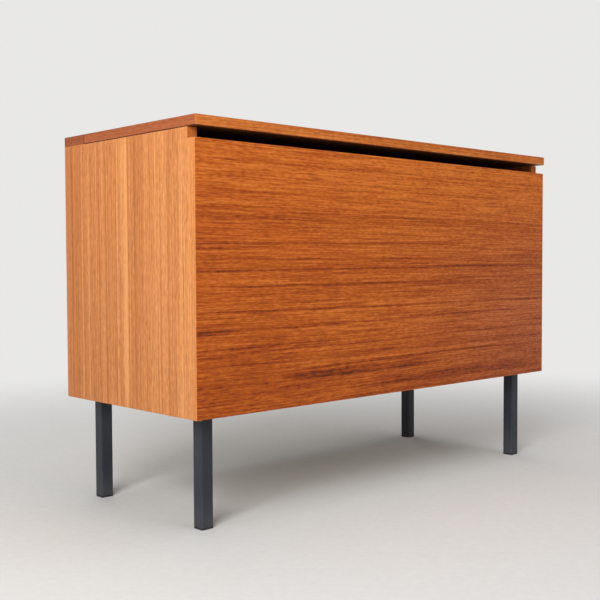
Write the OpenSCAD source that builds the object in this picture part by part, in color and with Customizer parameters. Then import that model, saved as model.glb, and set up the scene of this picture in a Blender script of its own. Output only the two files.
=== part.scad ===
// Lift-top sideboard chest on four square steel legs.
//
// A mitred box of veneered boards stands on tube legs. A narrow strip is glued
// along the rear of the top, and the lid is hinged to it by a continuous hinge.
// The lid is lifted by the finger gap above the front panel, and two slotted
// stays stop it short of upright.
//
// Frame: +X right, +Y back, +Z up. The origin is on the floor, under the middle
// of the whole object. All lengths are in millimetres, all angles in degrees.

/* [Box] */
// Width over the outer faces of the sides
width = 1030; // [900:10:1200]
// Depth from the front panel's face to the sides' rear edges
depth = 420; // [400:5:480]
// Height of the box with its lid
box_height = 508; // [460:2:600]
// Thickness of the sides and the front panel
board = 20; // [18:1:22]
// Thickness of the lid and of the strip behind it
lid_board = 18; // [18:1:22]
// Thickness of the bottom panel
bottom_board = 18; // [16:1:20]
// Thickness of the plywood back
back_board = 6; // [5:1:7]

/* [Top] */
// Clear height of the finger gap above the front panel
finger_gap = 20; // [16:1:26]
// How far the lid's front edge stands out past the front panel
lid_proud = 2.5; // [0.5:0.5:5]
// Width of the fixed strip along the rear of the top
strip_depth = 72; // [64:1:90]
// Gap between the strip and the lid
top_joint = 1; // [0.8:0.1:1.2]
// Thickness of the felt pads that the lid rests on
felt = 1; // [0.8:0.2:2]
// Largest opening angle of the lid
lid_open = 85; // [60:1:88]

/* [Edges] */
// Width of the solid lipping down the front edge of each side
side_lipping = 25; // [24:1:35]
// Width of the solid lipping down the rear edge of each side
rear_lipping = 5; // [3:1:7]
// Width of the solid lippings around the lid
lid_lipping = 8; // [5:1:8]
// Width of the lid's rear lipping, which holds the hinge screws
hinge_lipping = 14; // [12:1:18]
// Radius that the outer edges of the boards are sanded to
arris = 0.8; // [0.4:0.1:1.2]

/* [Legs] */
// Clear height under the box
leg_height = 200; // [120:5:300]
// Outside width of the square leg tube
tube = 25; // [22:1:30]
// Wall thickness of the leg tube
tube_wall = 2; // [1.5:0.5:3]
// Distance from the outer face of a side to the outer face of a leg
leg_inset_side = 40; // [40:1:80]
// Distance from the front panel's face to the front face of a front leg
leg_inset_front = 40; // [40:1:80]
// Distance from the rear edge to the rear face of a rear leg
leg_inset_rear = 33; // [33:1:80]

/* [Hinge and stays] */
// Distance from the hinge axis to the stays' two pivots
stay_reach = 200; // [180:5:220]
// Angle at the hinge axis between a stay's two pivots with the lid shut
stay_angle = 20; // [16:1:24]

/* [Hidden] */
$fn = 48;

// Colours
teak = "peru";
teak_solid = "sienna";
plywood = "burlywood";
beech = "wheat";
paint = "dimgray";
plastic = "black";
brass = "gold";
steel = "silver";
felt_green = "darkolivegreen";

// Faces of the box
x_out = width / 2;
x_in = x_out - board;
y_front = (lid_proud - depth) / 2;
y_back = y_front + depth;
y_lid = y_front - lid_proud;
back_face = y_back - 2;
z_box = leg_height;
z_top = z_box + box_height;
z_lid = z_top - lid_board;
z_side = z_lid - felt;
z_panel = z_lid - finger_gap;
z_floor = z_box + bottom_board;

// Joint between the strip and the lid; its middle is the hinge axis
y_hinge = y_back - strip_depth - top_joint / 2;
y_strip = y_hinge + top_joint / 2;
y_lid_rear = y_hinge - top_joint / 2;

// Clearance around a glued or screwed piece in its hole
ease = 0.05;

// Rebate for the back
rebate_w = board / 2;
rebate_d = back_board + y_back - back_face;
strip_rebate = 8;
back_ease = 0.3;

// Edge strips
panel_lipping = 4;
strip_lipping = 4;

// Mitre spline: thickness, width, and its place along the mitre
spline_t = 4;
spline_w = 14;
spline_at = 0.6;
spline_stop = 15;

// Dowels
dowel_r = 4;
dowel_deep = 12;
dowel_long = 30;
bottom_side_dowels = 4;
bottom_front_dowels = 6;
side_dowel_margin = 45;
front_dowel_margin = 80;

// Rail under the strip
rail_t = 20;
rail_h = 50;
rail_set_back = 2;
rail_dowel_drop = 12;

// Legs
tube_round = 2.5;
plate_size = 65;
plate_t = 3;
plate_round = 6;
plate_hole = 25;
glide_t = 4;
glide_plug = 14;
glide_ease = 0.1;
leg_x = x_out - leg_inset_side - tube / 2;
leg_y_front = y_front + leg_inset_front + tube / 2;
leg_y_rear = y_back - leg_inset_rear - tube / 2;

// Screws: [shank radius, length, head radius, head height]
leg_screw = [2, 16, 4, 2.4];
back_screw = [1.5, 18, 3, 1.6];
strip_screw = [2, 32, 4, 2.2];
hinge_screw = [1.1, 11, 2.2, 1.2];
stay_screw = [1.6, 13, 3.2, 1.7];
slot_w = 0.8;
slot_d = 0.9;

// Rows of screws: how many, and how far the end ones stand in
strip_screw_count = 5;
strip_screw_margin = 60;
back_screws_wide = 5;
back_screws_high = 3;
back_screw_margin = 40;
back_screw_rise = 110;

// Counterbore for the strip screws, from the rail's underside
counterbore_r = 5;
counterbore_d = 30;

// Continuous hinge
hinge_end = 30;
hinge_len = width - 2 * hinge_end;
knuckles = 2 * floor(hinge_len / 60) + 1;
knuckle_len = hinge_len / knuckles;
knuckle_gap = 0.15;
knuckle_r = 2;
pin_r = 1;
pin_run = 0.05;
leaf_t = 0.8;
leaf_h = 15;
leaf_root = 1.45;
knuckle_room = 2.4;
hinge_screw_pitch = 60;
hinge_screw_drop = 9;

// Felt pads
pad_r = 5;
pads = 3;
pad_margin = 25;

// Lid stays: places across the gap between the side and the chest, from the side inwards
stay_plate_t = 2;
stay_plate_w = 24;
stay_plate_h = 72;
stay_plate_hole = 25;
guide_r = 3;
guide_head_r = 7;
guide_head_t = 4;
slot_run = 0.15;
arm_from = 4.3;
arm_t = 2.5;
arm_r = 8;
arm_past = 14;
pivot_r = 2.5;
pivot_head_r = 5;
pivot_head_t = 1.1;
pivot_tail_t = 1;
knob_gap = 0.4;
collar_t = 1.2;
collar_r = 4.5;
pivot_drop = lid_board + 12;
bracket_from = arm_from + arm_t + collar_t;
bracket_t = 2;
bracket_r = 9;
bracket_reach = 26;
bracket_len = 40;
bracket_hole = 13;
bracket_hole_in = 9;

// Stay geometry in the plane of the arm. Both pivots are stay_reach from the hinge axis,
// so the arm always turns by half of the lid's angle.
pivot_dip = asin(pivot_drop / stay_reach);
guide_dip = pivot_dip + stay_angle;
arm_tilt = pivot_dip + stay_angle / 2;
pivot_y = y_hinge - stay_reach * cos(pivot_dip);
pivot_z = z_top - stay_reach * sin(pivot_dip);
guide_y = y_hinge - stay_reach * cos(guide_dip);
guide_z = z_top - stay_reach * sin(guide_dip);
arm_shut = 2 * stay_reach * sin(stay_angle / 2);
arm_open = 2 * stay_reach * sin((stay_angle + lid_open) / 2);

// ---- Shapes that repeat ----

// A block between two corners
module block(low, high) {
    translate(low) cube(high - low);
}

// Draws its children for the left side as they are, and mirrored for the right
module handed(hand) {
    if (hand == "left") children();
    else mirror([1, 0, 0]) children();
}

// A square outline with round corners, centred
module round_square(size, r) {
    square([size - 2 * r, size], center = true);
    square([size, size - 2 * r], center = true);
    for (x = [-1, 1], y = [-1, 1])
        translate([x, y] * (size / 2 - r)) circle(r);
}

// A rectangle from (0, 0) with its corners eased
module eased_rectangle(a, b) {
    translate([arris, 0]) square([a - 2 * arris, b]);
    translate([0, arris]) square([a, b - 2 * arris]);
    for (x = [arris, a - arris], y = [arris, b - arris]) translate([x, y]) circle(arris);
}

// A block between two corners with all its edges eased
module eased_block(low, high) {
    size = high - low;
    intersection() {
        translate(low) linear_extrude(size[2]) eased_rectangle(size[0], size[1]);
        translate(low) rotate([90, 0, 90]) linear_extrude(size[0]) eased_rectangle(size[1], size[2]);
        translate([low[0], high[1], low[2]]) rotate([90, 0, 0])
            linear_extrude(size[1]) eased_rectangle(size[0], size[2]);
    }
}

// An outline with round ends, from (0, 0) down to (0, -length)
module stadium(length, r) {
    translate([-r, -length]) square([2 * r, length]);
    circle(r);
    translate([0, -length]) circle(r);
}

// Stands a Y-Z outline up and gives it a thickness along +X
module along_x(thickness) {
    rotate([90, 0, 90]) linear_extrude(thickness) children();
}

// A countersunk screw with the flat of its head at z = 0, pointing along +Z
module countersunk(size, grow = 0) {
    r = size[0] + grow;
    head_r = size[2] + grow;
    rotate_extrude()
        polygon([[0, 0], [head_r, 0], [r, size[3]], [r, size[1] + grow], [0, size[1] + grow]]);
}

// The same screw with a straight driver slot
module slotted(size) {
    difference() {
        countersunk(size);
        translate([-size[2], -slot_w / 2, -slot_d]) cube([2 * size[2], slot_w, 2 * slot_d]);
    }
}

// Children at n places spread evenly from a to b
module spread(n, a, b) {
    for (i = [0 : n - 1]) translate(a + (b - a) * i / (n - 1)) children();
}

// ---- Places that several pieces share ----

// Dowel places in the bottom panel's left end, pointing along +X
module at_bottom_side_dowels() {
    spread(bottom_side_dowels,
           [-x_in - dowel_deep, y_front + side_lipping + side_dowel_margin, z_box + bottom_board / 2],
           [-x_in - dowel_deep, y_back - side_dowel_margin, z_box + bottom_board / 2])
        rotate([0, 90, 0]) children();
}

// Dowel places in the bottom panel's front edge, pointing along +Y
module at_bottom_front_dowels() {
    spread(bottom_front_dowels,
           [-x_in + front_dowel_margin, y_front + board - dowel_deep, z_box + bottom_board / 2],
           [x_in - front_dowel_margin, y_front + board - dowel_deep, z_box + bottom_board / 2])
        rotate([-90, 0, 0]) children();
}

// Dowel places in the rail's left end, pointing along +X
module at_rail_dowels() {
    for (z = [z_lid - rail_dowel_drop, z_lid - rail_h + rail_dowel_drop])
        translate([-x_in - dowel_deep, y_strip + rail_set_back + rail_t / 2, z])
            rotate([0, 90, 0]) children();
}

// Strip screws, pointing up from the counterbores in the rail
module at_strip_screws() {
    x = x_in - strip_screw_margin;
    y = y_strip + rail_set_back + rail_t / 2;
    z = z_lid - rail_h + counterbore_d;
    spread(strip_screw_count, [-x, y, z], [x, y, z]) children();
}

// Back screws along the top and the bottom of the back, pointing along -Y
module at_back_screws_across() {
    x = x_in - back_screw_margin;
    for (z = [z_box + bottom_board / 2, z_lid + strip_rebate / 2])
        spread(back_screws_wide, [-x, back_face, z], [x, back_face, z])
            rotate([90, 0, 0]) children();
}

// Back screws down the left edge of the back, pointing along -Y
module at_back_screws_left() {
    x = -x_out + (board + rebate_w) / 2;
    low = [x, back_face, z_box + back_screw_rise];
    high = [x, back_face, z_lid - back_screw_rise];
    spread(back_screws_high, low, high) rotate([90, 0, 0]) children();
}

// Hinge screws, at one height along the joint
module at_hinge_screws(y, turn) {
    count = floor(hinge_len / hinge_screw_pitch);
    first = -(count - 1) * hinge_screw_pitch / 2;
    for (i = [0 : count - 1])
        translate([first + i * hinge_screw_pitch, y, z_top - hinge_screw_drop])
            rotate([turn, 0, 0]) children();
}

// Screw places in a leg plate, about the leg's axis
module at_plate_holes() {
    for (x = [-1, 1], y = [-1, 1]) translate([x * plate_hole, y * plate_hole, 0]) children();
}

// The axes of the four legs
module at_legs() {
    for (x = [-leg_x, leg_x], y = [leg_y_front, leg_y_rear]) translate([x, y, 0]) children();
}

// The left stay's side plate screws, pointing along -X
module at_stay_plate_screws() {
    for (s = [-1, 1])
        translate([-x_in + stay_plate_t, guide_y, guide_z + s * stay_plate_hole])
            rotate([0, -90, 0]) children();
}

// The left stay's lid bracket screws, pointing along +Z
module at_stay_bracket_screws() {
    for (s = [-1, 1])
        translate([-x_in + bracket_from + bracket_reach - bracket_hole_in,
                   pivot_y + s * bracket_hole, z_lid - bracket_t])
            children();
}

// ---- Outer shapes: what sanding leaves of the glued-up boards ----

// The box under the lid; it runs on above the sides, whose top edges stay square
module box_outside() {
    eased_block([-x_out, y_front, z_box], [x_out, y_back, z_top]);
}

// The front panel with its mitred ends; it runs on behind the panel, whose inner edges stay square
module front_outside() {
    eased_block([-x_out, y_front, z_box], [x_out, y_back, z_panel]);
}

module lid_outside() {
    eased_block([-x_out, y_lid, z_lid], [x_out, y_lid_rear, z_top]);
}

// The strip; it runs on below, where the strip is glued down
module strip_outside() {
    eased_block([-x_out, y_strip, z_box], [x_out, y_back, z_top]);
}

// ---- Box ----

// Plan of the front panel: full length outside, mitred at both ends
module front_plan() {
    polygon([[-x_out, y_front], [x_out, y_front], [x_in, y_front + board], [-x_in, y_front + board]]);
}

// A spline, or with grow the groove for it, across the left mitre
module spline(grow = 0) {
    at = spline_at * board;
    translate([-x_out + at, y_front + at, z_box + spline_stop - grow])
        rotate([0, 0, -45])
            translate([-spline_w / 2 - grow, -spline_t / 2 - grow, 0])
                cube([spline_w + 2 * grow, spline_t + 2 * grow,
                      z_panel - z_box - 2 * spline_stop + 2 * grow]);
}

// The back, before its screw holes
module back_sheet() {
    x = x_out - rebate_w - back_ease;
    block([-x, y_back - rebate_d, z_box], [x, back_face, z_lid + strip_rebate - back_ease]);
}

module side(hand) {
    color(teak) handed(hand) difference() {
        intersection() {
            translate([-x_out, 0, 0]) along_x(board) polygon([
                [y_front + side_lipping, z_box], [y_back - rear_lipping, z_box],
                [y_back - rear_lipping, z_lid], [y_hinge, z_lid],
                [y_hinge, z_side], [y_front + side_lipping, z_side]
            ]);
            box_outside();
        }
        block([-x_out + rebate_w, y_back - rebate_d, z_box - 1], [-x_in + 1, y_back, z_lid + 1]);
        at_bottom_side_dowels() dowel_bore();
        at_rail_dowels() dowel_bore();
        at_back_screws_left() countersunk(back_screw, ease);
        at_stay_plate_screws() countersunk(stay_screw, ease);
    }
}
module side_left() { side("left"); }
module side_right() { side("right"); }

// The solid corner piece: mitred to the front panel below, notched for the finger gap above
module side_front_lipping(hand) {
    color(teak_solid) handed(hand) difference() {
        union() {
            intersection() {
                translate([0, 0, z_box]) linear_extrude(z_panel - z_box) polygon([
                    [-x_out, y_front], [-x_in, y_front + board],
                    [-x_in, y_front + side_lipping], [-x_out, y_front + side_lipping]
                ]);
                front_outside();
            }
            intersection() {
                block([-x_out, y_front + board, z_box], [-x_in, y_front + side_lipping, z_side]);
                box_outside();
            }
        }
        spline(ease);
    }
}
module side_front_lipping_left() { side_front_lipping("left"); }
module side_front_lipping_right() { side_front_lipping("right"); }

module side_rear_lipping(hand) {
    color(teak_solid) handed(hand) intersection() {
        block([-x_out, y_back - rear_lipping, z_box], [-x_out + rebate_w, y_back, z_lid]);
        box_outside();
    }
}
module side_rear_lipping_left() { side_rear_lipping("left"); }
module side_rear_lipping_right() { side_rear_lipping("right"); }

module front_panel() {
    color(teak) difference() {
        intersection() {
            translate([0, 0, z_box]) linear_extrude(z_panel - panel_lipping - z_box) front_plan();
            front_outside();
        }
        for (hand = ["left", "right"]) handed(hand) spline(ease);
        at_bottom_front_dowels() dowel_bore();
    }
}

module front_panel_lipping() {
    color(teak_solid) intersection() {
        translate([0, 0, z_panel - panel_lipping]) linear_extrude(panel_lipping) front_plan();
        front_outside();
    }
}

module mitre_spline_left() { color(beech) spline(); }
module mitre_spline_right() { color(beech) handed("right") spline(); }

module bottom_panel() {
    color(plywood) difference() {
        block([-x_in, y_front + board, z_box], [x_in, y_back - rebate_d, z_floor]);
        for (hand = ["left", "right"]) handed(hand)
            at_bottom_side_dowels() dowel_bore();
        at_bottom_front_dowels() dowel_bore();
        at_back_screws_across() countersunk(back_screw, ease);
        at_legs() at_plate_holes() translate([0, 0, z_box - 1])
            cylinder(h = leg_screw[1] - plate_t + 1 + ease, r = leg_screw[0] + ease);
    }
}

module back_panel() {
    color(plywood) difference() {
        back_sheet();
        at_back_screws_across() countersunk(back_screw, ease);
        for (hand = ["left", "right"]) handed(hand) at_back_screws_left() countersunk(back_screw, ease);
    }
}

module rear_rail() {
    color(beech) difference() {
        block([-x_in, y_strip + rail_set_back, z_lid - rail_h],
              [x_in, y_strip + rail_set_back + rail_t, z_lid]);
        for (hand = ["left", "right"]) handed(hand)
            at_rail_dowels() dowel_bore();
        at_strip_screws() {
            countersunk(strip_screw, ease);
            translate([0, 0, -counterbore_d - 1]) cylinder(h = counterbore_d + 1, r = counterbore_r);
        }
    }
}

module dowel_bore() {
    cylinder(h = dowel_long, r = dowel_r + ease);
}

module dowel() {
    translate([0, 0, ease]) cylinder(h = dowel_long - 2 * ease, r = dowel_r);
}

module bottom_dowels() {
    color(beech) {
        for (hand = ["left", "right"]) handed(hand) at_bottom_side_dowels() dowel();
        at_bottom_front_dowels() dowel();
    }
}

module rail_dowels() {
    color(beech) for (hand = ["left", "right"]) handed(hand) at_rail_dowels() dowel();
}

module strip_screws() { color(steel) at_strip_screws() slotted(strip_screw); }

module back_screws() {
    color(steel) {
        at_back_screws_across() slotted(back_screw);
        for (hand = ["left", "right"]) handed(hand) at_back_screws_left() slotted(back_screw);
    }
}

// ---- Fixed strip ----

// Room in an edge for the hinge: the leaf's recess and the knuckles' groove.
// face is the edge's Y, and into is +1 or -1, the way into the wood.
module hinge_room(face, into) {
    half = hinge_len / 2 + 1;
    leaf_y = [face - into, face + into * (leaf_t + ease)];
    groove_y = [face - into, y_hinge + into * knuckle_room];
    block([-half, min(leaf_y), z_top - leaf_h - ease], [half, max(leaf_y), z_top + 1]);
    block([-half, min(groove_y), z_top - knuckle_room], [half, max(groove_y), z_top + 1]);
}

module top_strip() {
    color(teak) difference() {
        intersection() {
            block([-x_out + strip_lipping, y_strip, z_lid], [x_out - strip_lipping, y_back, z_top]);
            strip_outside();
        }
        hinge_room(y_strip, 1);
        block([-x_out + rebate_w, y_back - rebate_d, z_lid - 1],
              [x_out - rebate_w, y_back + 1, z_lid + strip_rebate]);
        at_strip_screws() countersunk(strip_screw, ease);
        at_back_screws_across() countersunk(back_screw, ease);
        at_hinge_screws(y_strip, -90) countersunk(hinge_screw, ease);
    }
}

module strip_end(hand) {
    color(teak_solid) handed(hand) intersection() {
        block([-x_out, y_strip, z_lid], [-x_out + strip_lipping, y_back, z_top]);
        strip_outside();
    }
}
module strip_lipping_left() { strip_end("left"); }
module strip_lipping_right() { strip_end("right"); }

// ---- Legs ----

module leg_tube(x, y) {
    color(paint) translate([x, y, glide_t]) linear_extrude(z_box - plate_t - glide_t) difference() {
        round_square(tube, tube_round);
        square(tube - 2 * tube_wall, center = true);
    }
}
module leg_front_left() { leg_tube(-leg_x, leg_y_front); }
module leg_front_right() { leg_tube(leg_x, leg_y_front); }
module leg_rear_left() { leg_tube(-leg_x, leg_y_rear); }
module leg_rear_right() { leg_tube(leg_x, leg_y_rear); }

module leg_plate(x, y) {
    color(paint) translate([x, y, z_box - plate_t]) difference() {
        linear_extrude(plate_t) round_square(plate_size, plate_round);
        at_plate_holes() translate([0, 0, -1]) cylinder(h = plate_t + 2, r = leg_screw[0] + ease);
    }
}
module leg_plate_front_left() { leg_plate(-leg_x, leg_y_front); }
module leg_plate_front_right() { leg_plate(leg_x, leg_y_front); }
module leg_plate_rear_left() { leg_plate(-leg_x, leg_y_rear); }
module leg_plate_rear_right() { leg_plate(leg_x, leg_y_rear); }

// A flat foot with a plug that is pressed up into the tube
module leg_glide(x, y) {
    color(plastic) translate([x, y, 0]) {
        linear_extrude(glide_t) round_square(tube, tube_round);
        linear_extrude(glide_t + glide_plug) square(tube - 2 * (tube_wall + glide_ease), center = true);
    }
}
module leg_glide_front_left() { leg_glide(-leg_x, leg_y_front); }
module leg_glide_front_right() { leg_glide(leg_x, leg_y_front); }
module leg_glide_rear_left() { leg_glide(-leg_x, leg_y_rear); }
module leg_glide_rear_right() { leg_glide(leg_x, leg_y_rear); }

module leg_screws() {
    color(steel) at_legs() at_plate_holes() difference() {
        union() {
            translate([0, 0, z_box - plate_t - leg_screw[3]]) cylinder(h = leg_screw[3], r = leg_screw[2]);
            translate([0, 0, z_box - plate_t - 1]) cylinder(h = leg_screw[1] + 1, r = leg_screw[0]);
        }
        translate([-leg_screw[2], -slot_w / 2, z_box - plate_t - leg_screw[3] - slot_d])
            cube([2 * leg_screw[2], slot_w, 2 * slot_d]);
    }
}

// ---- Lid ----

module lid_panel() {
    color(teak) difference() {
        block([-x_out + lid_lipping, y_lid + lid_lipping, z_lid],
              [x_out - lid_lipping, y_lid_rear - hinge_lipping, z_top]);
        for (hand = ["left", "right"]) handed(hand) at_stay_bracket_screws() countersunk(stay_screw, ease);
    }
}

module lid_front_lipping() {
    color(teak_solid) intersection() {
        translate([0, 0, z_lid]) linear_extrude(lid_board) polygon([
            [-x_out, y_lid], [x_out, y_lid],
            [x_out - lid_lipping, y_lid + lid_lipping], [-x_out + lid_lipping, y_lid + lid_lipping]
        ]);
        lid_outside();
    }
}

module lid_end(hand) {
    color(teak_solid) handed(hand) intersection() {
        translate([0, 0, z_lid]) linear_extrude(lid_board) polygon([
            [-x_out, y_lid], [-x_out + lid_lipping, y_lid + lid_lipping],
            [-x_out + lid_lipping, y_lid_rear], [-x_out, y_lid_rear]
        ]);
        lid_outside();
    }
}
module lid_left_lipping() { lid_end("left"); }
module lid_right_lipping() { lid_end("right"); }

module lid_rear_lipping() {
    color(teak_solid) difference() {
        intersection() {
            block([-x_out + lid_lipping, y_lid_rear - hinge_lipping, z_lid],
                  [x_out - lid_lipping, y_lid_rear, z_top]);
            lid_outside();
        }
        hinge_room(y_lid_rear, -1);
        at_hinge_screws(y_lid_rear, 90) countersunk(hinge_screw, ease);
    }
}

module felt_pads() {
    color(felt_green) for (hand = ["left", "right"]) handed(hand)
        spread(pads, [-x_out + board / 2, y_front + board + pad_margin, z_side],
                     [-x_out + board / 2, y_lid_rear - pad_margin, z_side])
            cylinder(h = felt, r = pad_r);
}

// ---- Continuous hinge ----

// Whether a knuckle belongs to the fixed leaf
function is_fixed(i) = i % 2 == 0;

// One leaf, in the joint on the side that into gives, with every second knuckle
module hinge_leaf(fixed, into) {
    near = y_hinge + into * top_joint / 2;
    far = near + into * leaf_t;
    low_y = min(near, far);
    high_y = max(near, far);
    difference() {
        union() {
            block([-hinge_len / 2, low_y, z_top - leaf_h], [hinge_len / 2, high_y, z_top - knuckle_room]);
            for (i = [0 : knuckles - 1]) if (is_fixed(i) == fixed) {
                x = -hinge_len / 2 + i * knuckle_len + knuckle_gap / 2;
                long = knuckle_len - knuckle_gap;
                block([x, low_y, z_top - knuckle_room - 1], [x + long, high_y, z_top - leaf_root]);
                translate([x, y_hinge, z_top]) rotate([0, 90, 0]) difference() {
                    cylinder(h = long, r = knuckle_r);
                    translate([0, 0, -1]) cylinder(h = long + 2, r = pin_r + pin_run);
                }
            }
        }
        at_hinge_screws(near, -90 * into) countersunk(hinge_screw, ease);
    }
}
module hinge_leaf_fixed() { color(brass) hinge_leaf(true, 1); }
module hinge_leaf_lid() { color(brass) hinge_leaf(false, -1); }

module hinge_pin() {
    color(steel) translate([-hinge_len / 2, y_hinge, z_top]) rotate([0, 90, 0])
        cylinder(h = hinge_len, r = pin_r);
}

module hinge_screws_fixed() { color(brass) at_hinge_screws(y_strip, -90) countersunk(hinge_screw); }
module hinge_screws_lid() { color(brass) at_hinge_screws(y_lid_rear, 90) countersunk(hinge_screw); }

// ---- Lid stays ----

module stay_plate(hand) {
    color(steel) handed(hand) difference() {
        translate([-x_in, guide_y, guide_z + (stay_plate_h - stay_plate_w) / 2])
            along_x(stay_plate_t) stadium(stay_plate_h - stay_plate_w, stay_plate_w / 2);
        translate([-x_in - 1, guide_y, guide_z]) rotate([0, 90, 0])
            cylinder(h = stay_plate_t + 2, r = guide_r + ease);
        at_stay_plate_screws() countersunk(stay_screw, ease);
    }
}
module stay_plate_left() { stay_plate("left"); }
module stay_plate_right() { stay_plate("right"); }

// The pin that the arm slides on, with a round knob that keeps the arm on it
module stay_guide(hand) {
    head_from = arm_from + arm_t + knob_gap;
    color(brass) handed(hand) translate([-x_in, guide_y, guide_z]) rotate([0, 90, 0]) {
        cylinder(h = head_from, r = guide_r);
        translate([0, 0, stay_plate_t]) cylinder(h = collar_t, r = collar_r);
        translate([0, 0, head_from]) cylinder(h = guide_head_t, r = guide_head_r);
    }
}
module stay_guide_left() { stay_guide("left"); }
module stay_guide_right() { stay_guide("right"); }

// The flat arm: it swings on the lid bracket's pivot, and its slot runs over the guide pin
module stay_arm(hand) {
    color(steel) handed(hand) translate([-x_in + arm_from, pivot_y, pivot_z]) rotate([arm_tilt, 0, 0])
        along_x(arm_t) difference() {
            stadium(arm_open + arm_past, arm_r);
            circle(pivot_r + ease);
            translate([0, -arm_shut + 1]) stadium(arm_open - arm_shut + 2, guide_r + slot_run);
        }
}
module stay_arm_left() { stay_arm("left"); }
module stay_arm_right() { stay_arm("right"); }

// The angle under the lid that carries the arm's pivot
module stay_bracket(hand) {
    color(steel) handed(hand) difference() {
        union() {
            block([-x_in + bracket_from, pivot_y - bracket_len / 2, z_lid - bracket_t],
                  [-x_in + bracket_from + bracket_reach, pivot_y + bracket_len / 2, z_lid]);
            translate([-x_in + bracket_from, pivot_y, pivot_z]) along_x(bracket_t) {
                circle(bracket_r);
                translate([-bracket_r, 0]) square([2 * bracket_r, z_lid - pivot_z]);
            }
        }
        translate([-x_in, pivot_y, pivot_z]) rotate([0, 90, 0]) cylinder(h = board, r = pivot_r + ease);
        at_stay_bracket_screws() countersunk(stay_screw, ease);
    }
}
module stay_bracket_left() { stay_bracket("left"); }
module stay_bracket_right() { stay_bracket("right"); }

// The rivet through the bracket and the arm
module stay_pivot(hand) {
    head_from = arm_from - pivot_head_t - 0.2;
    tail_from = bracket_from + bracket_t + ease;
    color(brass) handed(hand) translate([-x_in, pivot_y, pivot_z]) rotate([0, 90, 0]) {
        translate([0, 0, head_from]) cylinder(h = pivot_head_t, r = pivot_head_r);
        translate([0, 0, head_from]) cylinder(h = tail_from - head_from, r = pivot_r);
        translate([0, 0, tail_from]) cylinder(h = pivot_tail_t, r = pivot_head_r - 1);
    }
}
module stay_pivot_left() { stay_pivot("left"); }
module stay_pivot_right() { stay_pivot("right"); }

module stay_screws_side() {
    color(steel) for (hand = ["left", "right"]) handed(hand) at_stay_plate_screws() slotted(stay_screw);
}

module stay_screws_lid() {
    color(steel) for (hand = ["left", "right"]) handed(hand) at_stay_bracket_screws() slotted(stay_screw);
}

// ---- The object ----

side_left();
side_right();
side_front_lipping_left();
side_front_lipping_right();
side_rear_lipping_left();
side_rear_lipping_right();
front_panel();
front_panel_lipping();
bottom_panel();
back_panel();
rear_rail();
top_strip();
strip_lipping_left();
strip_lipping_right();
mitre_spline_left();
mitre_spline_right();
bottom_dowels();
rail_dowels();
strip_screws();
back_screws();
leg_front_left();
leg_front_right();
leg_rear_left();
leg_rear_right();
leg_plate_front_left();
leg_plate_front_right();
leg_plate_rear_left();
leg_plate_rear_right();
leg_glide_front_left();
leg_glide_front_right();
leg_glide_rear_left();
leg_glide_rear_right();
leg_screws();
lid_panel();
lid_front_lipping();
lid_left_lipping();
lid_right_lipping();
lid_rear_lipping();
felt_pads();
hinge_leaf_fixed();
hinge_leaf_lid();
hinge_pin();
hinge_screws_fixed();
hinge_screws_lid();
stay_plate_left();
stay_plate_right();
stay_guide_left();
stay_guide_right();
stay_arm_left();
stay_arm_right();
stay_bracket_left();
stay_bracket_right();
stay_pivot_left();
stay_pivot_right();
stay_screws_side();
stay_screws_lid();
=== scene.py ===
import math

import bmesh
import bpy
from mathutils import Matrix, Vector


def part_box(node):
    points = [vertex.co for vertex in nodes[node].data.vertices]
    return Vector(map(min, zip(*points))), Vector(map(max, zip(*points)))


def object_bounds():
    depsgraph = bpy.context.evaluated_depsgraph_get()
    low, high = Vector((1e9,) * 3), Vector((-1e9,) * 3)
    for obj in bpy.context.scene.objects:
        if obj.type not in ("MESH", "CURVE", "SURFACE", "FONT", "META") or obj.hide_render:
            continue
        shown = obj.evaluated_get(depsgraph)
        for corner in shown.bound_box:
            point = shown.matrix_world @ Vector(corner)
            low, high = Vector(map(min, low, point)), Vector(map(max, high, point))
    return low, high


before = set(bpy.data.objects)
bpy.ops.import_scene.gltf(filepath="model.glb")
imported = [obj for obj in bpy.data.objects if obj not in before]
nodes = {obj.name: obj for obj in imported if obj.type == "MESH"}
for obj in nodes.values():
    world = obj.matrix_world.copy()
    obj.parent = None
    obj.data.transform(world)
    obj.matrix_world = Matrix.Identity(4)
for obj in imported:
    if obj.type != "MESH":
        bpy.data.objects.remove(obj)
cad_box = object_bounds()

# Corners that the looks are placed by, from the frame
LOW, HIGH = (Vector(corner) for corner in cad_box)
PANEL_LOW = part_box("front_panel")[0]
PANEL_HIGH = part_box("front_panel_lipping")[1]
LID_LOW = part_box("lid_front_lipping")[0]
LID_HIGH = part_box("lid_rear_lipping")[1]
STRIP_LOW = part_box("top_strip")[0]
WIDTH = HIGH.x - LOW.x
MM = 0.001


# ---- Shader building blocks ----

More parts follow.
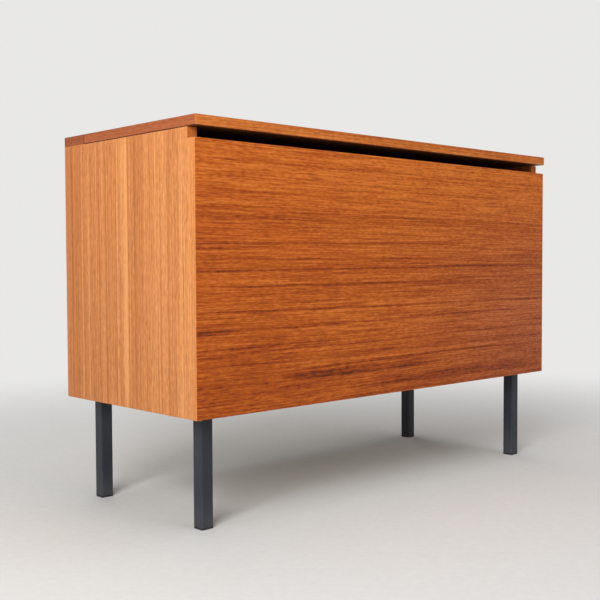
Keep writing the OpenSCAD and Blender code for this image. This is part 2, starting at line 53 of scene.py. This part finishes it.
class Shader:
    """A material's node tree, with one short method per kind of node."""

    def __init__(self, name):
        self.material = bpy.data.materials.new(name)
        self.material.use_nodes = True
        self.tree = self.material.node_tree
        self.tree.nodes.clear()
        self.bsdf = self.add("ShaderNodeBsdfPrincipled")
        self.output = self.add("ShaderNodeOutputMaterial")
        self.feed(self.output.inputs["Surface"], self.bsdf.outputs[0])
        self.place = self.add("ShaderNodeTexCoord").outputs["Object"]

    def add(self, kind, **settings):
        made = self.tree.nodes.new(kind)
        for key, value in settings.items():
            setattr(made, key, value)
        return made

    def feed(self, socket, value):
        """Links an output to a socket, or sets a plain value on it."""
        if isinstance(value, bpy.types.NodeSocket):
            self.tree.links.new(value, socket)
        elif isinstance(value, tuple) and len(value) == 3 and socket.type == "RGBA":
            socket.default_value = (*value, 1.0)
        else:
            socket.default_value = value

    def math(self, operation, *terms):
        made = self.add("ShaderNodeMath", operation=operation)
        for socket, value in zip(made.inputs, terms):
            self.feed(socket, value)
        return made.outputs[0]

    def total(self, *terms, start=0.0):
        """start plus the sum of (value, weight) pairs."""
        for value, weight in terms:
            start = self.math("MULTIPLY_ADD", value, weight, start)
        return start

    def smooth(self, value, low, high, to_low=0.0, to_high=1.0):
        """value eased from to_low at low to to_high at high."""
        made = self.add("ShaderNodeMapRange", interpolation_type="SMOOTHSTEP")
        for socket, number in zip(made.inputs, (value, low, high, to_low, to_high)):
            self.feed(socket, number)
        return made.outputs[0]

    def axes(self, vector):
        made = self.add("ShaderNodeSeparateXYZ")
        self.feed(made.inputs[0], vector)
        return list(made.outputs)

    def join(self, *parts):
        made = self.add("ShaderNodeCombineXYZ")
        for socket, value in zip(made.inputs, parts):
            self.feed(socket, value)
        return made.outputs[0]

    def noise(self, vector, scales, seed=0.0, detail=2.0, roughness=0.5):
        """Noise from 0 to 1, with one frequency per axis, in cycles a metre."""
        mapping = self.add("ShaderNodeMapping")
        self.feed(mapping.inputs["Vector"], vector)
        mapping.inputs["Scale"].default_value = scales
        mapping.inputs["Location"].default_value = (seed, seed * 1.7, seed * 0.6)
        made = self.add("ShaderNodeTexNoise")
        self.feed(made.inputs["Vector"], mapping.outputs[0])
        made.inputs["Scale"].default_value = 1.0
        made.inputs["Detail"].default_value = detail
        made.inputs["Roughness"].default_value = roughness
        return made.outputs["Fac"]

    def ramp(self, value, *stops):
        """A colour ramp through (position, colour) stops."""
        made = self.add("ShaderNodeValToRGB")
        self.feed(made.inputs[0], value)
        elements = made.color_ramp.elements
        while len(elements) < len(stops):
            elements.new(0.5)
        for element, (position, colour) in zip(elements, stops):
            element.position = position
            element.color = (*colour, 1.0)
        return made.outputs[0]

    def mix(self, factor, a, b, blend="MIX"):
        made = self.add("ShaderNodeMix", data_type="RGBA", blend_type=blend)
        self.feed(made.inputs[0], factor)
        self.feed(made.inputs[6], a)
        self.feed(made.inputs[7], b)
        return made.outputs[2]

    def bump(self, height, distance, strength=1.0):
        made = self.add("ShaderNodeBump")
        made.inputs["Strength"].default_value = strength
        made.inputs["Distance"].default_value = distance
        self.feed(made.inputs["Height"], height)
        return made.outputs[0]

    def finish(self, colour, roughness, normal, **plain):
        """Feeds the shader, and sets plain values straight on its own sockets."""
        self.feed(self.bsdf.inputs["Base Color"], colour)
        self.feed(self.bsdf.inputs["Roughness"], roughness)
        self.feed(self.bsdf.inputs["Normal"], normal)
        for key, value in plain.items():
            self.feed(self.bsdf.inputs[key.replace("_", " ")], value)
        return self.material

    def edge_distance(self, low, high):
        """Distance in metres from a box's surface point to the nearest edge of the box."""
        gaps = []
        for value, a, b in zip(self.axes(self.place), low, high):
            offset = self.math("ABSOLUTE", self.math("SUBTRACT", value, (a + b) / 2))
            gaps.append(self.math("SUBTRACT", (b - a) / 2, offset))
        nearer = self.math("MINIMUM", gaps[0], gaps[1])
        farther = self.math("MAXIMUM", gaps[0], gaps[1])
        return self.math("MAXIMUM", nearer, self.math("MINIMUM", farther, gaps[2]))


# ---- Teak ----

# Linear colours, from the dark lines of the grain to its light bands
FRONT_TONES = ((0.32, 0.051, 0.004), (0.48, 0.104, 0.010), (0.67, 0.184, 0.026))
# The sides' tones are paler and less saturated than the front's: partly the side veneer's own tone, partly
# a painted sheen
SIDE_TONES = ((0.47, 0.150, 0.038), (0.59, 0.207, 0.063), (0.79, 0.338, 0.116))
LID_TONES = ((0.35, 0.070, 0.010), (0.54, 0.145, 0.023), (0.70, 0.235, 0.050))
LIPPING_TONES = ((0.54, 0.175, 0.044), (0.68, 0.250, 0.075), (0.81, 0.350, 0.125))
REAR_TONES = ((0.42, 0.150, 0.065), (0.52, 0.200, 0.095), (0.62, 0.260, 0.130))
END_TONES = ((0.30, 0.074, 0.024), (0.39, 0.108, 0.038), (0.49, 0.158, 0.060))
STRIP_END_TONES = ((0.25, 0.060, 0.020), (0.33, 0.086, 0.032), (0.41, 0.125, 0.050))
# Painted shade on the underside of the lid and the strip
UNDERSIDE_SHADE_TONE = (0.070, 0.028, 0.009)
# Painted shade: what the sides' tones are multiplied by on faces set back inwards of their outer sheet, and
# that sheet's thickness
INNER_SHADE_TINT = (0.74, 0.50, 0.26)
VENEER = 0.8 * MM
# Moves a box's lower or upper edges out of reach, so that the paler edges (wear and painted highlight)
# leave them alone
FAR = Vector((0.0, 0.0, 1.0))


def across(along, slow, fast):
    """Frequencies that are slow along the grain's axis and fast on the other two."""
    return tuple(slow if axis == along else fast for axis in range(3))


class Wood(Shader):
    """Wood whose grain runs along one axis of the frame, as in a solid block."""

    def __init__(self, name, along, seed, drift=9 * MM, ragged=0.6 * MM):
        super().__init__(name)
        self.along, self.seed = along, seed
        wander = self.noise(self.place, across(along, 1.3, 3.0), seed, detail=1.0)
        jag = self.noise(self.place, across(along, 9.0, 70.0), seed + 1, detail=1.0)
        lean = self.total((wander, drift), (jag, ragged), start=-(drift + ragged) / 2)
        self.parts = [part if axis == along else self.math("ADD", part, lean)
                      for axis, part in enumerate(self.axes(self.place))]
        self.grain = self.join(*self.parts)

    def layer(self, slow, fast, step, detail=3.0, roughness=0.55):
        scales = across(self.along, slow, fast)
        return self.noise(self.grain, scales, self.seed + step, detail, roughness)

    def lines(self, slow, fast, step, width):
        """Thin wavy lines along the grain, 0 to 1, where a stretched noise crosses its middle."""
        crossing = self.math("SUBTRACT", self.layer(slow, fast, step, detail=1.0), 0.5)
        return self.smooth(self.math("ABSOLUTE", crossing), width, 0.0)

    def figure(self, contrast=1.0, run=1.0):
        """The grain's light and dark, about 0.5: bands, growth lines, flecks and fibres."""
        clear = self.layer(0.5 * run, 9.0, 27.0, detail=1.0)
        parts = (
            # value, weight, mean of the value
            (self.layer(0.5 * run, 13.0, 3.1), 0.55, 0.5),
            (self.layer(0.4 * run, 36.0, 7.7, detail=2.0, roughness=0.7), 0.32, 0.5),
            (self.math("MULTIPLY", self.lines(0.45 * run, 42.0, 13.0, 0.04), clear), -0.38, 0.15),
            (self.lines(1.1 * run, 115.0, 15.0, 0.05), -0.17, 0.25),
            (self.lines(2.4 * run, 210.0, 21.0, 0.06), -0.18, 0.25),
            (self.layer(75.0, 300.0, 9.4, detail=1.0), 1.15, 0.5),
            (self.layer(9.0 * run, 480.0, 11.9, detail=1.0), 1.5, 0.5),
        )
        centred = [(value, weight * contrast) for value, weight, _ in parts]
        return self.total(*centred, start=0.5 - contrast * sum(w * mean for _, w, mean in parts))

    def pores(self, run=38.0):
        """Short dark flecks along the grain, 0 to 1."""
        flecks = self.layer(run, 720.0, 17.3, detail=2.0)
        patches = self.layer(3.0, 22.0, 19.9, detail=1.0)
        open_grain = self.math("MULTIPLY_ADD", patches, 0.16, -0.08)
        return self.smooth(self.math("ADD", flecks, open_grain), 0.56, 0.68)

    def streak(self, level, start, end, above, below, rise=0.0, fade=60 * MM, axis=2):
        """A long line at a level across the grain: it fades out above and below, and past its ends."""
        run = self.parts[self.along]
        line = self.math("SUBTRACT", self.parts[axis], self.math("MULTIPLY_ADD", run, rise, level))
        cut = self.math("MINIMUM", self.smooth(line, above, 0.0), self.smooth(line, -below, 0.0))
        begun = self.smooth(run, start - fade, start + fade)
        ended = self.smooth(run, end + fade, end - fade)
        return self.math("MULTIPLY", cut, self.math("MULTIPLY", begun, ended))

    def near(self, axis, level, width):
        """1 on the plane at a level along an axis, 0 a width away from it."""
        offset = self.math("SUBTRACT", self.axes(self.place)[axis], level)
        return self.smooth(self.math("ABSOLUTE", offset), width, width / 4)

    def oiled(self, value, tones, wear_and_highlight_box, roughness=0.46, wear_and_highlight=0.5, run=38.0, tint=None, joints_and_shadow=None):
        """The oiled surface over a 0 to 1 figure.

        The box argument gives the edges that are painted paler: partly wear, partly a painted highlight
        on the arrises. tint is a factor and a colour to multiply by; the last argument darkens the
        joints and a glue line, and paints a shadow along the lid's underside.
        """
        dark, middle, light = tones
        # Growth lines go deeper than the dark tone, so the ramp starts below it
        deep = (dark[0] * 0.34, dark[1] * 0.42, dark[2] * 0.9)
        on_ramp = self.math("MULTIPLY_ADD", value, 0.7, 0.3)
        colour = self.ramp(on_ramp, (0.0, deep), (0.3, dark), (0.65, middle), (1.0, light))
        if tint:
            colour = self.mix(tint[0], colour, self.mix(1.0, colour, tint[1], "MULTIPLY"))
        pores = self.pores(run)
        colour = self.mix(self.math("MULTIPLY", pores, 0.45), colour, tuple(c * 0.40 for c in dark))
        # Edges painted paler: partly wear, partly a painted highlight on the arrises
        patch = self.noise(self.place, (60.0, 60.0, 60.0), self.seed + 23, detail=2.0)
        edge = self.total((patch, 1.2 * MM), start=self.edge_distance(*wear_and_highlight_box))
        rubbed = self.smooth(edge, 2.2 * MM, 0.7 * MM, 0.0, wear_and_highlight)
        colour = self.mix(rubbed, colour, tuple(min(1.0, c * 1.2 + 0.01) for c in light))
        # Darker joints and glue line, and a painted shadow along the lid's underside
        if joints_and_shadow:
            colour = self.mix(self.math("MULTIPLY", joints_and_shadow, 0.75), colour, deep)
        height = self.total((pores, -1.0), (self.layer(9.0, 520.0, 11.9), 0.5))
        sheen = self.total((patch, 0.12), (pores, 0.15), (rubbed, -0.06), start=roughness - 0.06)
        return self.finish(colour, sheen, self.bump(height, 0.05 * MM, 0.5), IOR=1.45,
                           Specular_IOR_Level=0.22)


GOLDEN = 0.618
FRONT_STREAKS = 16
SIDE_BANDS = 14


def spread(index, step, low, high):
    """The value at an index of an even, unordered spread from low to high."""
    return low + (high - low) * (index * step % 1.0)


def front_veneer():
    """The front's sheet: calm ribbon grain above, long leaning streaks below."""
    wood = Wood("teak_front", 0, 1.0)
    z_low, height = PANEL_LOW.z, PANEL_HIGH.z - PANEL_LOW.z
    half = WIDTH / 2

    def level(share):
        return z_low + share * height

    # Darker towards the bottom and the left, lighter towards the top
    value = wood.total(
        (wood.smooth(wood.parts[2], level(0.22), level(0.0)), -0.24),
        (wood.smooth(wood.parts[2], level(0.62), level(1.0)), 0.15),
        (wood.smooth(wood.parts[0], 0.0, -half), -0.18),
        start=wood.figure())
    for index in range(1, FRONT_STREAKS + 1):
        # The streaks crowd and deepen towards the bottom; every fifth has a soft shade above it
        share = spread(index, GOLDEN, 0.0, 1.0) ** 1.3
        start = max(-half, spread(index, 0.37, -1.2, 0.1))
        end = min(half, spread(index, 0.71, 0.0, 0.8))
        above = 25 if index % 5 == 0 else spread(index, 0.29, 3, 6)
        rise = spread(index, 0.83, -0.01, 0.01)
        depth = spread(index, 0.47, 0.25, 0.6) * (1.2 - 0.5 * share)
        mark = wood.streak(level(share), start, end, above * MM, 4 * MM, rise)
        value = wood.total((mark, -depth), start=value)
    leaf = wood.streak(level(0.50), -half, -0.30, 14 * MM, 22 * MM, 0.01, fade=90 * MM)
    value = wood.total((leaf, 0.28), start=value)
    # Darker and greyer towards the lower right
    darker_greyer_lower_right = wood.math("MULTIPLY", wood.smooth(wood.parts[0], -0.1, half),
                       wood.smooth(wood.parts[2], level(1.0), level(0.25)))
    return wood.oiled(value, FRONT_TONES, (PANEL_LOW - FAR, PANEL_HIGH), wear_and_highlight=0.35,
                      tint=(darker_greyer_lower_right, (0.84, 0.87, 2.0)))


def inner_shade(wood, outside):
    """The factor and colour of the painted shade on a side's faces away from its outer sheet."""
    inward = wood.math("ABSOLUTE", wood.math("SUBTRACT", wood.axes(wood.place)[0], outside))
    return wood.smooth(inward, VENEER, VENEER + 0.6 * MM), INNER_SHADE_TINT


def side_veneer(name, seed, low, high, outside):
    """A side's sheet: straight upright grain with pale and dark bands."""
    wood = Wood(name, 2, seed, drift=4 * MM, ragged=0.4 * MM)
    z_low, z_high = low.z, high.z
    value = wood.figure(contrast=0.7, run=0.22)
    for index in range(SIDE_BANDS):
        y = spread(index + seed, GOLDEN, low.y, high.y)
        paler = spread(index, 0.41, 0.15, 0.45) * (1 if index % 2 else -1)
        mark = wood.streak(y, z_low, z_high, 4 * MM, 5 * MM, fade=50 * MM, axis=1)
        value = wood.total((mark, paler), start=value)
    # A broad pale band up the middle, with a darker line along each side of it
    for y, wide, paler in ((0.0, 20, 0.5), (0.03, 4, -0.4), (-0.03, 4, -0.4)):
        mark = wood.streak(y, z_low, z_high, wide * MM, wide * MM, fade=50 * MM, axis=1)
        value = wood.total((mark, paler), start=value)
    value = wood.total((wood.smooth(wood.parts[1], 0.10, 0.21), -0.12),
                       (wood.smooth(wood.parts[1], -0.09, -0.18), 0.14), start=value)
    # The inner faces and edges get painted shade
    return wood.oiled(value, SIDE_TONES, (low - FAR, high + FAR), run=24.0, tint=inner_shade(wood, outside))


def top_box():
    """The box of the lid and strip together, open below."""
    return Vector((LOW.x, LID_LOW.y, LID_LOW.z)) - FAR, Vector((HIGH.x, HIGH.y, LID_HIGH.z))


def lid_joints_and_shadow(wood):
    """Darkening round the lid: the joint at its rear edge, a painted shadow along its underside, and the
    glue line of the top's veneer.
    """
    joint, line = (LID_HIGH.y + STRIP_LOW.y) / 2, LID_HIGH.z - 0.6 * MM
    behind = wood.near(1, joint, 2.0 * MM)
    # Painted shadow along the lid's underside, joined to the darker rear joint
    edges = wood.math("MAXIMUM", behind, wood.near(2, LID_LOW.z, 1.4 * MM))
    return wood.math("MAXIMUM", edges, wood.math("MULTIPLY", wood.near(2, line, 0.6 * MM), 0.6))


def top_veneer(name, seed):
    """The top's veneer, flat-sawn along the width, with painted shade on its underside."""
    wood = Wood(name, 0, seed, drift=26 * MM, ragged=1 * MM)
    level = wood.axes(wood.place)[2]
    # Painted shade: the underside is darkened from the front's middle tone to the shade tone
    shaded_underside = wood.smooth(level, LID_LOW.z + 3 * MM, LID_LOW.z + 1 * MM)
    shade = tuple(inner / outer for inner, outer in zip(UNDERSIDE_SHADE_TONE, FRONT_TONES[1]))
    return wood.oiled(wood.figure(), FRONT_TONES, top_box(), wear_and_highlight=0.2, tint=(shaded_underside, shade))


def top_lipping(name, along, seed, tones):
    """A lipping of the lid or the strip."""
    wood = Wood(name, along, seed, drift=3 * MM)
    value = wood.figure(contrast=0.8, run=0.5)
    return wood.oiled(value, tones, top_box(), wear_and_highlight=0.15, joints_and_shadow=lid_joints_and_shadow(wood))


def corner_lipping(name, seed, tones, low, high, wear_and_highlight=0.5, outside=None):
    """An upright lipping of a side, with painted shade on its inner faces if outside is given."""
    wood = Wood(name, 2, seed, drift=3 * MM)
    value = wood.figure(contrast=0.7, run=0.3)
    tint = None if outside is None else inner_shade(wood, outside)
    return wood.oiled(value, tones, (low - FAR, high + FAR), wear_and_highlight=wear_and_highlight, tint=tint)


# ---- Other woods ----

def pale_wood(name, along, seed, tones, fast=60.0):
    """Unfinished pale wood: low contrast, dry and matt."""
    wood = Wood(name, along, seed, drift=20 * MM)
    lines = wood.layer(1.4, fast, 2.0, detail=4.0, roughness=0.6)
    fibres = wood.layer(12.0, 480.0, 4.0)
    value = wood.total((lines, 1.1), (fibres, 0.5), start=-0.3)
    colour = wood.ramp(value, (0.2, tones[0]), (0.8, tones[1]))
    flecks = wood.smooth(wood.layer(60.0, 420.0, 6.0), 0.62, 0.75)
    colour = wood.mix(wood.math("MULTIPLY", flecks, 0.35), colour, tuple(c * 0.6 for c in tones[0]))
    height = wood.total((fibres, 0.6), (flecks, -0.8))
    rough = wood.total((lines, 0.15), start=0.62)
    return wood.finish(colour, rough, wood.bump(height, 0.08 * MM, 0.6), IOR=1.45)


def plywood():
    """The back's rotary-cut sheet: wide wandering figure, fine fibres, short open pores."""
    wood = Wood("plywood_back", 0, 31.0, drift=110 * MM, ragged=3 * MM)
    broad = wood.layer(0.7, 9.0, 2.0, detail=2.0)
    rings = wood.lines(0.9, 17.0, 13.0, 0.035)
    threads = wood.layer(3.2, 170.0, 7.0, detail=3.0, roughness=0.7)
    fibres = wood.layer(11.0, 420.0, 4.0)
    value = wood.total((broad, 0.5), (rings, -0.30), (threads, 1.0), (fibres, 0.6), start=-0.52)
    colour = wood.ramp(value, (0.15, (0.40, 0.225, 0.105)), (0.5, (0.56, 0.36, 0.19)),
                       (0.85, (0.68, 0.48, 0.28)))
    pores = wood.pores(run=30.0)
    colour = wood.mix(wood.math("MULTIPLY", pores, 0.4), colour, (0.22, 0.115, 0.05))
    height = wood.total((fibres, 0.8), (pores, -1.0))
    return wood.finish(colour, wood.total((threads, 0.12), start=0.66),
                       wood.bump(height, 0.08 * MM, 0.5), IOR=1.45, Specular_IOR_Level=0.3)


# ---- Metal, plastic and felt ----

def leg_paint(name, low, high, seed):
    """Dark grey satin paint over steel, rubbed at the edges and dusty near the floor."""
    paint = Shader(name)
    cloud = paint.noise(paint.place, (22.0, 22.0, 9.0), seed, detail=4.0)
    speck = paint.noise(paint.place, (900.0, 900.0, 900.0), seed + 2, detail=1.0)
    colour = paint.ramp(cloud, (0.3, (0.024, 0.028, 0.037)), (0.7, (0.037, 0.042, 0.055)))
    rise = paint.axes(paint.place)[2]
    dusty = paint.math("MULTIPLY", paint.smooth(rise, 70 * MM, 0.0), cloud)
    colour = paint.mix(paint.math("MULTIPLY", dusty, 0.35), colour, (0.16, 0.15, 0.14))
    scuffs = paint.noise(paint.place, (140.0, 140.0, 45.0), seed + 5, detail=4.0)
    edge = paint.total((scuffs, 3.2 * MM), start=paint.edge_distance(low, high))
    rubbed = paint.smooth(edge, 2.6 * MM, 1.4 * MM, 0.0, 0.45)
    colour = paint.mix(rubbed, colour, (0.11, 0.118, 0.135))
    peel = paint.noise(paint.place, (420.0, 420.0, 420.0), seed + 9, detail=2.0)
    height = paint.total((peel, 1.0), (speck, 0.3))
    rough = paint.total((cloud, 0.14), (dusty, 0.25), (rubbed, -0.1), start=0.30)
    return paint.finish(colour, rough, paint.bump(height, 0.05 * MM, 0.5), IOR=1.5,
                        Specular_IOR_Level=0.25)


def foot_plastic():
    """Black moulded plastic with light scuffs."""
    plastic = Shader("foot_plastic")
    grain = plastic.noise(plastic.place, (700.0, 700.0, 700.0), 1.0, detail=3.0)
    scuffs = plastic.smooth(plastic.noise(plastic.place, (260.0, 60.0, 260.0), 4.0, detail=4.0), 0.55, 0.75)
    colour = plastic.mix(plastic.math("MULTIPLY", scuffs, 0.5), (0.012, 0.012, 0.013), (0.06, 0.058, 0.055))
    rough = plastic.total((grain, 0.2), (scuffs, 0.15), start=0.42)
    return plastic.finish(colour, rough, plastic.bump(grain, 0.05 * MM, 0.6), IOR=1.5)


def metal(name, seed, clean, tarnish, scales, roughness, cover=0.5):
    """Bare or plated metal with a brushed direction and patches of tarnish."""
    made = Shader(name)
    brush = made.noise(made.place, scales, seed, detail=3.0)
    cloud = made.noise(made.place, (45.0, 45.0, 45.0), seed + 3, detail=5.0, roughness=0.6)
    spots = made.smooth(made.noise(made.place, (420.0, 420.0, 420.0), seed + 6, detail=2.0), 0.66, 0.78)
    dull = made.total((made.smooth(cloud, 0.42, 0.66), cover), (spots, 0.35))
    colour = made.mix(dull, clean, tarnish)
    rough = made.total((brush, 0.16), (dull, 0.22), start=roughness - 0.08)
    height = made.total((brush, 0.7), (spots, -0.5))
    return made.finish(colour, rough, made.bump(height, 0.03 * MM, 0.5), Metallic=1.0)


def wool_felt():
    """Dark green felt with a soft uneven pile."""
    felt = Shader("wool_felt")
    fuzz = felt.noise(felt.place, (1500.0, 1500.0, 1500.0), 2.0, detail=4.0, roughness=0.7)
    cloud = felt.noise(felt.place, (160.0, 160.0, 160.0), 6.0, detail=2.0)
    value = felt.total((fuzz, 0.8), (cloud, 0.5), start=-0.15)
    colour = felt.ramp(value, (0.2, (0.020, 0.028, 0.014)), (0.8, (0.075, 0.090, 0.048)))
    return felt.finish(colour, felt.total((fuzz, 0.1), start=0.85), felt.bump(fuzz, 0.3 * MM, 0.9),
                       Sheen_Weight=0.12, Sheen_Roughness=0.5)


# ---- Materials onto the CAD pieces ----

def dress(material, *names):
    """Gives the named CAD nodes this material, on their objects' own slots."""
    for name in names:
        piece = nodes[name]
        if not piece.material_slots:
            piece.data.materials.append(None)
        for place in piece.material_slots:
            place.link = "OBJECT"
            place.material = material


def both(name, ending=""):
    """The names of a left and right pair of nodes."""
    return name + "_left" + ending, name + "_right" + ending


LEGS = ("front_left", "front_right", "rear_left", "rear_right")


def dress_box():
    """Teak outside, plainer woods inside and behind."""
    dress(front_veneer(), "front_panel", "front_panel_lipping")
    for hand, seed, outside in (("left", 2.0, LOW.x), ("right", 14.0, HIGH.x)):
        low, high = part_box("side_" + hand)
        low.y, high.y = PANEL_LOW.y, HIGH.y
        dress(side_veneer("teak_side_" + hand, seed, low, high, outside), "side_" + hand)
        dress(corner_lipping("teak_corner_" + hand, seed + 40, LIPPING_TONES, low, high, outside=outside),
              "side_front_lipping_" + hand)
        dress(corner_lipping("teak_rear_edge_" + hand, seed + 46, REAR_TONES, low, high, wear_and_highlight=0.2),
              "side_rear_lipping_" + hand)
    dress(top_veneer("teak_strip", 33.0), "top_strip")
    dress(top_lipping("teak_strip_ends", 1, 51.0, STRIP_END_TONES), *both("strip_lipping"))
    dress(pale_wood("limba_bottom", 0, 22.0, ((0.38, 0.24, 0.13), (0.60, 0.42, 0.25))), "bottom_panel")
    dress(plywood(), "back_panel")
    dress(pale_wood("birch_splines", 2, 25.0, ((0.45, 0.31, 0.18), (0.66, 0.50, 0.33))),
          *both("mitre_spline"))
    dress(pale_wood("beech", 0, 28.0, ((0.44, 0.26, 0.14), (0.62, 0.42, 0.26)), fast=40.0),
          "rear_rail", "bottom_dowels", "rail_dowels")


def dress_lid():
    """The lid's panel, its lippings and its pads."""
    dress(top_veneer("teak_lid", 8.0), "lid_panel")
    dress(top_lipping("teak_lid_front", 0, 61.0, LID_TONES), "lid_front_lipping", "lid_rear_lipping")
    dress(top_lipping("teak_lid_ends", 1, 64.0, END_TONES), *both("lid", "_lipping"))
    dress(wool_felt(), "felt_pads")


def dress_legs():
    """Each leg and plate with its own patches of wear, and the feet."""
    for step, leg in enumerate(LEGS):
        low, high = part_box("leg_" + leg)
        dress(leg_paint("paint_" + leg, low, high, 70.0 + 3 * step), "leg_" + leg)
        low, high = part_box("leg_plate_" + leg)
        dress(leg_paint("paint_plate_" + leg, low, high, 90.0 + 3 * step), "leg_plate_" + leg)
    dress(foot_plastic(), *("leg_glide_" + leg for leg in LEGS))


def dress_fittings():
    """Zinc screws and hinge pin, aged brass hinge leaves and pivots, nickel-plated stays."""
    zinc = metal("zinc_screws", 5.0, clean=(0.62, 0.61, 0.58), tarnish=(0.30, 0.29, 0.27),
                 scales=(300.0, 300.0, 300.0), roughness=0.42)
    brass = metal("aged_brass", 11.0, clean=(0.60, 0.41, 0.17), tarnish=(0.24, 0.155, 0.07),
                  scales=(25.0, 700.0, 700.0), roughness=0.36, cover=0.7)
    nickel = metal("nickel_stays", 17.0, clean=(0.66, 0.64, 0.61), tarnish=(0.38, 0.36, 0.33),
                   scales=(900.0, 900.0, 30.0), roughness=0.32, cover=0.35)
    dress(zinc, "strip_screws", "back_screws", "leg_screws", "stay_screws_side", "stay_screws_lid",
          "hinge_pin")
    dress(brass, "hinge_leaf_fixed", "hinge_leaf_lid", "hinge_screws_fixed", "hinge_screws_lid",
          *both("stay_guide"), *both("stay_pivot"))
    dress(nickel, *both("stay_plate"), *both("stay_arm"), *both("stay_bracket"))


# ---- Studio ----

# The background's colour, and the floor's near the object
PALE = (0.81, 0.805, 0.79)
FLOOR_RADIUS = 60.0
FLOOR_TONES = ((0.685, 0.68, 0.665), (0.715, 0.71, 0.695))
# What the floor gives back to the object, kept low so that the gap stays dark
BOUNCE_TONE = (0.42, 0.42, 0.41)
# Distances from the middle where the floor starts and ends turning into the background
HAZE_NEAR, HAZE_FAR = 0.6, 2.2
# Strength of the light from all round, and the point that the lights face
AMBIENT = 0.20
AIM = Vector((0.0, 0.0, 0.40))
LIGHTS = (
    # name, place, width and height, power in watts
    ("key", (-2.9, -1.7, 1.9), (1.6, 1.6), 113.0),
    ("front", (0.6, -3.5, 1.5), (1.8, 1.6), 12.0),
    ("overhead", (0.3, -0.4, 3.4), (3.4, 3.4), 48.0),
    ("rear", (1.3, 3.4, 1.5), (2.4, 2.0), 24.0),
)
# The camera's place, its turn from +Y towards +X, its tilt and its roll in degrees, and its lens
EYE = (-1.4742, -1.4821, 0.4651)
YAW, PITCH, ROLL = 43.197, -2.319, -0.237
FOCAL, SENSOR = 57.59, 36.0


def floor():
    """A wide pale floor that melts into the background's colour far away."""
    outline = bmesh.new()
    bmesh.ops.create_circle(outline, cap_ends=True, radius=FLOOR_RADIUS, segments=96)
    mesh = bpy.data.meshes.new("floor")
    outline.to_mesh(mesh)
    outline.free()
    made = bpy.data.objects.new("floor", mesh)
    bpy.context.scene.collection.objects.link(made)
    look = Shader("pale_floor")
    away = look.add("ShaderNodeVectorMath", operation="LENGTH")
    look.feed(away.inputs[0], look.place)
    speckle = look.noise(look.place, (90.0, 90.0, 90.0), 1.0, detail=3.0)
    colour = look.ramp(speckle, (0.3, FLOOR_TONES[0]), (0.7, FLOOR_TONES[1]))
    bounced = look.add("ShaderNodeLightPath").outputs["Is Diffuse Ray"]
    colour = look.mix(bounced, colour, BOUNCE_TONE)
    look.finish(colour, 0.85, look.bump(speckle, 0.2 * MM, 0.3), Specular_IOR_Level=0.2)
    haze = look.add("ShaderNodeEmission")
    look.feed(haze.inputs["Color"], PALE)
    blend = look.add("ShaderNodeMixShader")
    look.feed(blend.inputs[0], look.smooth(away.outputs["Value"], HAZE_NEAR, HAZE_FAR))
    look.feed(blend.inputs[1], look.bsdf.outputs[0])
    look.feed(blend.inputs[2], haze.outputs[0])
    look.feed(look.output.inputs["Surface"], blend.outputs[0])
    mesh.materials.append(look.material)


def softbox(name, place, size, power):
    """A rectangular area light that points at the object."""
    light = bpy.data.lights.new(name, "AREA")
    light.shape = "RECTANGLE"
    light.size, light.size_y = size
    light.energy = power
    made = bpy.data.objects.new(name, light)
    made.location = place
    made.rotation_euler = (AIM - Vector(place)).to_track_quat("-Z", "Y").to_euler()
    bpy.context.scene.collection.objects.link(made)


def sky():
    """Even dim light from all round, and the pale background that the camera sees."""
    world = bpy.data.worlds.new("studio")
    world.use_nodes = True
    bpy.context.scene.world = world
    tree = world.node_tree
    background = tree.nodes["Background"]
    seen = tree.nodes.new("ShaderNodeBackground")
    background.inputs["Color"].default_value = (1.0, 0.99, 0.97, 1.0)
    background.inputs["Strength"].default_value = AMBIENT
    seen.inputs["Color"].default_value = (*PALE, 1.0)
    path = tree.nodes.new("ShaderNodeLightPath")
    mix = tree.nodes.new("ShaderNodeMixShader")
    output = tree.nodes["World Output"]
    tree.links.new(path.outputs["Is Camera Ray"], mix.inputs[0])
    tree.links.new(background.outputs[0], mix.inputs[1])
    tree.links.new(seen.outputs[0], mix.inputs[2])
    tree.links.new(mix.outputs[0], output.inputs["Surface"])


def camera():
    """The photograph's view: from the front left, a little above the middle of the box."""
    yaw, pitch, roll = (math.radians(angle) for angle in (YAW, PITCH, ROLL))
    ahead = Vector((math.sin(yaw) * math.cos(pitch), math.cos(yaw) * math.cos(pitch), math.sin(pitch)))
    level_right = Vector((math.cos(yaw), -math.sin(yaw), 0.0))
    level_up = level_right.cross(ahead)
    right = math.cos(roll) * level_right + math.sin(roll) * level_up
    up = math.cos(roll) * level_up - math.sin(roll) * level_right
    lens = bpy.data.cameras.new("camera")
    lens.lens = FOCAL
    lens.sensor_width = SENSOR
    made = bpy.data.objects.new("camera", lens)
    turn = Matrix((right, up, -ahead)).transposed().to_4x4()
    made.matrix_world = Matrix.Translation(EYE) @ turn
    bpy.context.scene.collection.objects.link(made)
    bpy.context.scene.camera = made


bpy.context.scene.view_settings.view_transform = "Standard"
camera()
floor()
sky()
for light in LIGHTS:
    softbox(*light)
dress_box()
dress_lid()
dress_legs()
dress_fittings()
